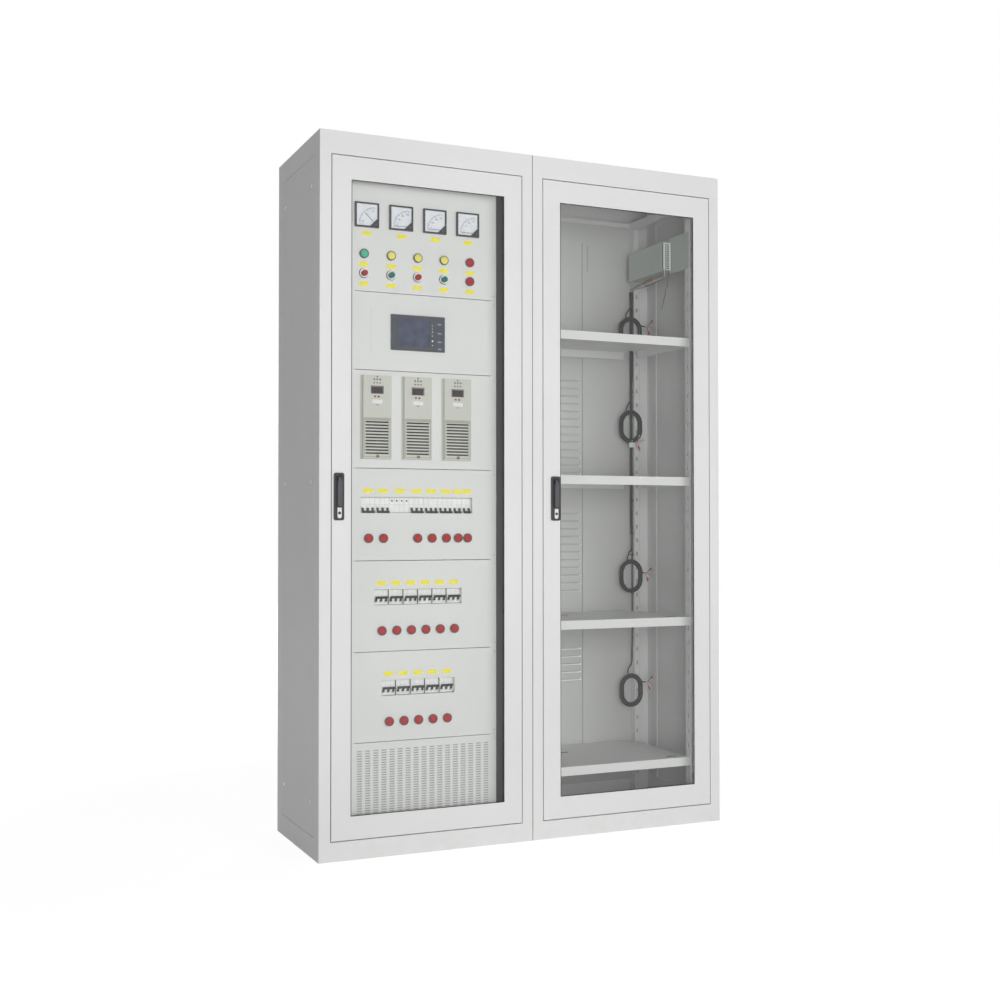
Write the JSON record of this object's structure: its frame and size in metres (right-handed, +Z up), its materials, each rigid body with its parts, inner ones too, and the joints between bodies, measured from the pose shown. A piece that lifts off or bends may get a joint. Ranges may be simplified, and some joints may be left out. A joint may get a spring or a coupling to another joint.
{
  "type": "rectifier battery charger",
  "caption": "Two-bay grey steel cabinet: glazed doors, meters, lamps, rectifier modules and breakers on the left, battery shelves on the right.",
  "frame": {"origin": "bottom centre of the footprint", "axes": "+X to the right seen from the doors, +Y to the back, +Z up"},
  "size_m": [1.4, 0.5145, 2.2],
  "materials": {
    "cabinet_grey": "satin",
    "chrome": "polished",
    "black_plastic": "matte",
    "dial_white": "satin",
    "lamp_green": "gloss",
    "lamp_yellow": "gloss",
    "lamp_red": "gloss",
    "navy_plastic": "satin",
    "screen": "gloss",
    "module_beige": "satin",
    "zinc_steel": "satin",
    "breaker_cream": "satin",
    "monitor_grey": "satin",
    "cable_black": "matte",
    "window_glass": "gloss",
    "dark_grey_metal": "satin",
    "button_red": "gloss",
    "button_green": "gloss"
  },
  "bodies": {
    "cabinet": {"left_frame": "cabinet_grey", "right_frame": "cabinet_grey", "side_and_roof_panels": "cabinet_grey", "back_panels": "cabinet_grey", "hinge_brackets": "chrome", "rack_posts": "cabinet_grey", "inner_panels": "cabinet_grey", "meter_cases": "black_plastic", "meter_dials": "dial_white", "bezels": "chrome", "lamps_green": "lamp_green", "lamps_yellow": "lamp_yellow", "lamps_red": "lamp_red", "controller": "navy_plastic", "screens": "screen", "rectifier_modules": "module_beige", "din_rails": "zinc_steel", "breaker_bodies": "breaker_cream", "shelves": "cabinet_grey", "battery_monitor": "monitor_grey", "battery_leads": "cable_black", "battery_coils": "cable_black"},
    "left_door": {"left_door": "cabinet_grey", "left_glass": "window_glass", "left_handle_plate": "black_plastic"},
    "left_spindle": {"left_spindle": "black_plastic"},
    "left_lever": {"left_lever": "dark_grey_metal"},
    "left_lock": {"left_lock": "chrome"},
    "right_door": {"right_door": "cabinet_grey", "right_glass": "window_glass", "right_handle_plate": "black_plastic"},
    "right_spindle": {"right_spindle": "black_plastic"},
    "right_lever": {"right_lever": "dark_grey_metal"},
    "right_lock": {"right_lock": "chrome"},
    "button_1": {"button_1": "button_red"},
    "button_2": {"button_2": "button_green"},
    "button_3": {"button_3": "button_red"},
    "button_4": {"button_4": "button_green"},
    "needle_1": {"needle_1": "black_plastic"},
    "needle_2": {"needle_2": "black_plastic"},
    "needle_3": {"needle_3": "black_plastic"},
    "needle_4": {"needle_4": "black_plastic"},
    "breaker_lever_d1": {"breaker_lever_d1": "black_plastic"},
    "breaker_lever_d2": {"breaker_lever_d2": "black_plastic"},
    "breaker_lever_d3": {"breaker_lever_d3": "black_plastic"},
    "breaker_lever_d4": {"breaker_lever_d4": "black_plastic"},
    "breaker_lever_d5": {"breaker_lever_d5": "black_plastic"},
    "breaker_lever_d6": {"breaker_lever_d6": "black_plastic"},
    "breaker_lever_d7": {"breaker_lever_d7": "black_plastic"},
    "breaker_lever_e1": {"breaker_lever_e1": "black_plastic"},
    "breaker_lever_e2": {"breaker_lever_e2": "black_plastic"},
    "breaker_lever_e3": {"breaker_lever_e3": "black_plastic"},
    "breaker_lever_e4": {"breaker_lever_e4": "black_plastic"},
    "breaker_lever_e5": {"breaker_lever_e5": "black_plastic"},
    "breaker_lever_e6": {"breaker_lever_e6": "black_plastic"},
    "breaker_lever_f1": {"breaker_lever_f1": "black_plastic"},
    "breaker_lever_f2": {"breaker_lever_f2": "black_plastic"},
    "breaker_lever_f3": {"breaker_lever_f3": "black_plastic"},
    "breaker_lever_f4": {"breaker_lever_f4": "black_plastic"},
    "breaker_lever_f5": {"breaker_lever_f5": "black_plastic"}
  },
  "joints": [
    {"name": "left_door_swing", "type": "hinge", "parent": "cabinet", "child": "left_door", "pos_m": [-0.0445, -0.244, 1.0935], "axis": [0, 0, 1], "range_deg": [0, 105]},
    {"name": "left_handle_turn", "type": "hinge", "parent": "left_door", "child": "left_spindle", "pos_m": [-0.64, -0.256, 1.149], "axis": [0, -1, 0], "range_deg": [0, 90]},
    {"name": "left_lever_lift", "type": "hinge", "parent": "left_spindle", "child": "left_lever", "pos_m": [-0.64, -0.2615, 1.149], "axis": [-1, 0, 0], "range_deg": [0, 35]},
    {"name": "left_lock_press", "type": "slide", "parent": "left_door", "child": "left_lock", "axis": [0, 1, 0], "range_m": [0, 0.003], "stiffness_N_per_m": 800},
    {"name": "right_door_swing", "type": "hinge", "parent": "cabinet", "child": "right_door", "pos_m": [0.6555, -0.244, 1.0935], "axis": [0, 0, 1], "range_deg": [0, 105]},
    {"name": "right_handle_turn", "type": "hinge", "parent": "right_door", "child": "right_spindle", "pos_m": [0.0805, -0.256, 1.149], "axis": [0, -1, 0], "range_deg": [0, 90]},
    {"name": "right_lever_lift", "type": "hinge", "parent": "right_spindle", "child": "right_lever", "pos_m": [0.0805, -0.2615, 1.149], "axis": [-1, 0, 0], "range_deg": [0, 35]},
    {"name": "right_lock_press", "type": "slide", "parent": "right_door", "child": "right_lock", "axis": [0, 1, 0], "range_m": [0, 0.003], "stiffness_N_per_m": 800},
    {"name": "button_1_press", "type": "slide", "parent": "cabinet", "child": "button_1", "axis": [0, 1, 0], "range_m": [0, 0.004], "stiffness_N_per_m": 800},
    {"name": "button_2_press", "type": "slide", "parent": "cabinet", "child": "button_2", "axis": [0, 1, 0], "range_m": [0, 0.004], "stiffness_N_per_m": 800},
    {"name": "button_3_press", "type": "slide", "parent": "cabinet", "child": "button_3", "axis": [0, 1, 0], "range_m": [0, 0.004], "stiffness_N_per_m": 800},
    {"name": "button_4_press", "type": "slide", "parent": "cabinet", "child": "button_4", "axis": [0, 1, 0], "range_m": [0, 0.004], "stiffness_N_per_m": 800},
    {"name": "needle_1_turn", "type": "hinge", "parent": "cabinet", "child": "needle_1", "pos_m": [-0.5134, -0.2062, 1.93802], "axis": [0, 1, 0], "range_deg": [-45, 45]},
    {"name": "needle_2_turn", "type": "hinge", "parent": "cabinet", "child": "needle_2", "pos_m": [-0.4024, -0.2062, 1.93802], "axis": [0, 1, 0], "range_deg": [0, 90]},
    {"name": "needle_3_turn", "type": "hinge", "parent": "cabinet", "child": "needle_3", "pos_m": [-0.2914, -0.2062, 1.93802], "axis": [0, 1, 0], "range_deg": [0, 90]},
    {"name": "needle_4_turn", "type": "hinge", "parent": "cabinet", "child": "needle_4", "pos_m": [-0.1804, -0.2062, 1.93802], "axis": [0, 1, 0], "range_deg": [0, 90]},
    {"name": "breaker_lever_d1_throw", "type": "hinge", "parent": "cabinet", "child": "breaker_lever_d1", "pos_m": [-0.5314, -0.1865, 1.059], "axis": [-1, 0, 0], "range_deg": [0, 72]},
    {"name": "breaker_lever_d2_throw", "type": "hinge", "parent": "cabinet", "child": "breaker_lever_d2", "pos_m": [-0.4837, -0.1865, 1.059], "axis": [-1, 0, 0], "range_deg": [0, 72]},
    {"name": "breaker_lever_d3_throw", "type": "hinge", "parent": "cabinet", "child": "breaker_lever_d3", "pos_m": [-0.3724, -0.1865, 1.059], "axis": [-1, 0, 0], "range_deg": [0, 72]},
    {"name": "breaker_lever_d4_throw", "type": "hinge", "parent": "cabinet", "child": "breaker_lever_d4", "pos_m": [-0.3247, -0.1865, 1.059], "axis": [-1, 0, 0], "range_deg": [0, 72]},
    {"name": "breaker_lever_d5_throw", "type": "hinge", "parent": "cabinet", "child": "breaker_lever_d5", "pos_m": [-0.277, -0.1865, 1.059], "axis": [-1, 0, 0], "range_deg": [0, 72]},
    {"name": "breaker_lever_d6_throw", "type": "hinge", "parent": "cabinet", "child": "breaker_lever_d6", "pos_m": [-0.23725, -0.1865, 1.059], "axis": [-1, 0, 0], "range_deg": [0, 72]},
    {"name": "breaker_lever_d7_throw", "type": "hinge", "parent": "cabinet", "child": "breaker_lever_d7", "pos_m": [-0.20545, -0.1865, 1.059], "axis": [-1, 0, 0], "range_deg": [0, 72]},
    {"name": "breaker_lever_e1_throw", "type": "hinge", "parent": "cabinet", "child": "breaker_lever_e1", "pos_m": [-0.48815, -0.1865, 0.774], "axis": [1, 0, 0], "range_deg": [0, 72]},
    {"name": "breaker_lever_e2_throw", "type": "hinge", "parent": "cabinet", "child": "breaker_lever_e2", "pos_m": [-0.44045, -0.1865, 0.774], "axis": [1, 0, 0], "range_deg": [0, 72]},
    {"name": "breaker_lever_e3_throw", "type": "hinge", "parent": "cabinet", "child": "breaker_lever_e3", "pos_m": [-0.39275, -0.1865, 0.774], "axis": [1, 0, 0], "range_deg": [0, 72]},
    {"name": "breaker_lever_e4_throw", "type": "hinge", "parent": "cabinet", "child": "breaker_lever_e4", "pos_m": [-0.34505, -0.1865, 0.774], "axis": [1, 0, 0], "range_deg": [0, 72]},
    {"name": "breaker_lever_e5_throw", "type": "hinge", "parent": "cabinet", "child": "breaker_lever_e5", "pos_m": [-0.29735, -0.1865, 0.774], "axis": [1, 0, 0], "range_deg": [0, 72]},
    {"name": "breaker_lever_e6_throw", "type": "hinge", "parent": "cabinet", "child": "breaker_lever_e6", "pos_m": [-0.24965, -0.1865, 0.774], "axis": [1, 0, 0], "range_deg": [0, 72]},
    {"name": "breaker_lever_f1_throw", "type": "hinge", "parent": "cabinet", "child": "breaker_lever_f1", "pos_m": [-0.4643, -0.1865, 0.494], "axis": [1, 0, 0], "range_deg": [0, 72]},
    {"name": "breaker_lever_f2_throw", "type": "hinge", "parent": "cabinet", "child": "breaker_lever_f2", "pos_m": [-0.4166, -0.1865, 0.494], "axis": [1, 0, 0], "range_deg": [0, 72]},
    {"name": "breaker_lever_f3_throw", "type": "hinge", "parent": "cabinet", "child": "breaker_lever_f3", "pos_m": [-0.3689, -0.1865, 0.494], "axis": [1, 0, 0], "range_deg": [0, 72]},
    {"name": "breaker_lever_f4_throw", "type": "hinge", "parent": "cabinet", "child": "breaker_lever_f4", "pos_m": [-0.3212, -0.1865, 0.494], "axis": [1, 0, 0], "range_deg": [0, 72]},
    {"name": "breaker_lever_f5_throw", "type": "hinge", "parent": "cabinet", "child": "breaker_lever_f5", "pos_m": [-0.2735, -0.1865, 0.494], "axis": [1, 0, 0], "range_deg": [0, 72]}
  ]
}
